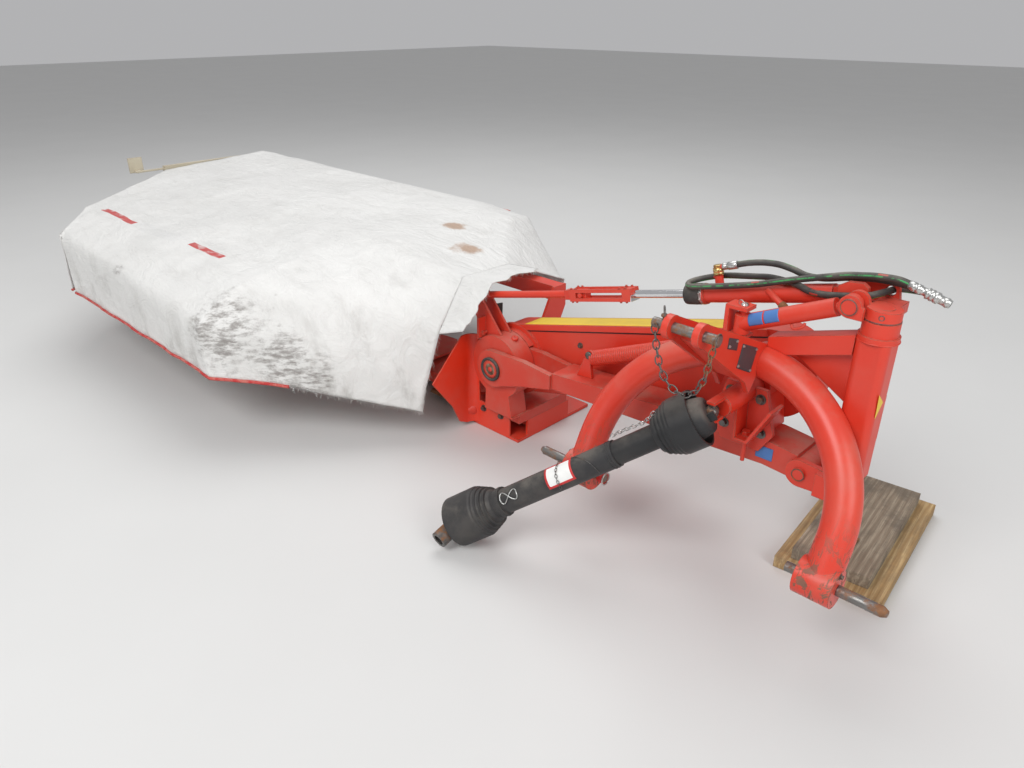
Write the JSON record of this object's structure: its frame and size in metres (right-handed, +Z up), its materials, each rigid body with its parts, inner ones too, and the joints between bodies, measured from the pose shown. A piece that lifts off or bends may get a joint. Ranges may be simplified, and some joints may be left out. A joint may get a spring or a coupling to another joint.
{
  "type": "rear-mounted disc mower",
  "caption": "Rear-mounted disc mower with arch headstock, side arm and belt drive, parked unfolded on its cutter bar and two wooden boards under a white cloth canopy.",
  "frame": {"origin": "middle of the box around the mower, at ground level", "axes": "+X from the cutter bar towards the hitch, +Y from the tractor to the rear, +Z up"},
  "size_m": [4.4556, 1.63, 0.9485],
  "materials": {
    "red_paint": "worn satin",
    "steel": "weathered",
    "chrome": "polished",
    "black_plastic": "dusty",
    "cloth": "coated tarpaulin",
    "beige_paint": "weathered",
    "old_wood": "weathered",
    "pine_wood": "raw",
    "hose": "matte"
  },
  "bodies": {
    "headstock": {"arch_tube": "red_paint", "mast_bracket": "red_paint", "mast_pin": "steel", "hitch_pins": "steel", "turret_post": "red_paint", "cross_tube": "red_paint", "lower_boards": "pine_wood", "upper_board": "old_wood", "stand_sleeve": "red_paint"},
    "parking_stand": {"stand_leg": "steel"},
    "swing_frame": {"turret_head": "red_paint", "swing_bracket": "red_paint", "hydraulic_hose": "hose", "hose_coupler": "steel"},
    "strut": {"safety_strut": "red_paint"},
    "arm": {"arm_beam": "red_paint", "belt_guard": "red_paint", "input_housing": "red_paint", "belt_spring": "red_paint"},
    "cutter_bar": {"cutter_bed": "red_paint", "skids": "steel", "inner_shoe": "red_paint", "outer_shoe": "red_paint", "gearbox": "red_paint", "lift_lever": "red_paint", "canopy_frame": "red_paint", "canopy": "cloth", "canopy_end": "cloth", "canopy_flap": "cloth", "end_rail": "beige_paint"},
    "barrel": {"lift_barrel": "red_paint"},
    "rod": {"lift_rod": "chrome"},
    "tie": {"tie_rod": "red_paint"},
    "drive_swivel": {"pto_cross": "steel"},
    "drive_rear": {"pto_guard_rear": "black_plastic"},
    "drive_front": {"pto_guard_front": "black_plastic"},
    "drive_yoke": {"pto_yoke": "steel"},
    "rotor_1": {"disc_1": "red_paint"},
    "rotor_2": {"disc_2": "red_paint"},
    "rotor_3": {"disc_3": "red_paint"},
    "rotor_4": {"disc_4": "red_paint"},
    "rotor_5": {"disc_5": "red_paint"},
    "rotor_6": {"disc_6": "red_paint"}
  },
  "joints": [
    {"name": "breakaway_swing", "type": "hinge", "parent": "headstock", "child": "swing_frame", "pos_m": [2.00025, -0.065, 0.6], "axis": [0, 0, -1], "range_deg": [0, 10]},
    {"name": "strut_turn", "type": "hinge", "parent": "headstock", "child": "strut", "pos_m": [1.66725, -0.092, 0.758], "axis": [0, 0, 1], "range_deg": [0, 2.35]},
    {"name": "arm_lift", "type": "hinge", "parent": "swing_frame", "child": "arm", "pos_m": [1.88325, -0.002, 0.38], "axis": [0, 1, 0], "range_deg": [-0.3, 4.1]},
    {"name": "bar_fold", "type": "hinge", "parent": "arm", "child": "cutter_bar", "pos_m": [0.69225, -0.002, 0.305], "axis": [0, 1, 0], "range_deg": [-5, 80], "deforming": ["canopy_flap"]},
    {"name": "barrel_tilt", "type": "hinge", "parent": "swing_frame", "child": "barrel", "pos_m": [1.90225, -0.002, 0.875], "axis": [0, 1, 0], "range_deg": [-5.2, 0.4], "deforming": ["hydraulic_hose"]},
    {"name": "rod_slide", "type": "slide", "parent": "barrel", "child": "rod", "axis": [0.9711, 0, 0.2386], "range_m": [-0.0119, 0.1822]},
    {"name": "tie_slide", "type": "slide", "parent": "rod", "child": "tie", "axis": [0.9711, 0, 0.2386], "range_m": [-0.0099, 0.1524]},
    {"name": "stand_slide", "type": "slide", "parent": "headstock", "child": "parking_stand", "axis": [0, 0, 1], "range_m": [0, 0.25]},
    {"name": "drive_yaw", "type": "hinge", "parent": "arm", "child": "drive_swivel", "pos_m": [1.69725, -0.254, 0.565], "axis": [0, 0, 1], "range_deg": [0, 15.3]},
    {"name": "drive_pitch", "type": "hinge", "parent": "drive_swivel", "child": "drive_rear", "pos_m": [1.69725, -0.254, 0.565], "axis": [-0.4506, 0.8927, 0], "range_deg": [0, 30]},
    {"name": "drive_reach", "type": "slide", "parent": "drive_rear", "child": "drive_front", "axis": [0.7327, 0.3698, 0.5713], "range_m": [0, 0.12]},
    {"name": "yoke_spin", "type": "hinge", "parent": "drive_front", "child": "drive_yoke", "pos_m": [1.11107, -0.54984, 0.10797], "axis": [-0.7327, -0.3698, -0.5713], "continuous": true},
    {"name": "disc_1_spin", "type": "hinge", "parent": "cutter_bar", "child": "rotor_1", "pos_m": [0.36225, 0.158, 0.1], "axis": [0, 0, 1], "continuous": true},
    {"name": "disc_2_spin", "type": "hinge", "parent": "cutter_bar", "child": "rotor_2", "pos_m": [-0.00775, 0.158, 0.1], "axis": [0, 0, 1], "continuous": true},
    {"name": "disc_3_spin", "type": "hinge", "parent": "cutter_bar", "child": "rotor_3", "pos_m": [-0.37775, 0.158, 0.1], "axis": [0, 0, 1], "continuous": true},
    {"name": "disc_4_spin", "type": "hinge", "parent": "cutter_bar", "child": "rotor_4", "pos_m": [-0.74775, 0.158, 0.1], "axis": [0, 0, 1], "continuous": true},
    {"name": "disc_5_spin", "type": "hinge", "parent": "cutter_bar", "child": "rotor_5", "pos_m": [-1.11775, 0.158, 0.1], "axis": [0, 0, 1], "continuous": true},
    {"name": "disc_6_spin", "type": "hinge", "parent": "cutter_bar", "child": "rotor_6", "pos_m": [-1.48775, 0.158, 0.1], "axis": [0, 0, 1], "continuous": true}
  ],
  "couplings": [
    {"joint": "strut_turn", "follows": "breakaway_swing", "ratio": 0.227},
    {"joint": "drive_yaw", "follows": "breakaway_swing", "ratio": 1.5},
    {"joint": "arm_lift", "follows": "bar_fold", "ratio": 0.05},
    {"joint": "barrel_tilt", "follows": "bar_fold", "ratio": -0.06375},
    {"joint": "rod_slide", "follows": "bar_fold", "m_per_rad": 0.13035},
    {"joint": "tie_slide", "follows": "bar_fold", "m_per_rad": 0.10886},
    {"joint": "disc_2_spin", "follows": "disc_1_spin", "ratio": -1},
    {"joint": "disc_3_spin", "follows": "disc_1_spin", "ratio": 1},
    {"joint": "disc_4_spin", "follows": "disc_1_spin", "ratio": -1},
    {"joint": "disc_5_spin", "follows": "disc_1_spin", "ratio": 1},
    {"joint": "disc_6_spin", "follows": "disc_1_spin", "ratio": -1}
  ]
}
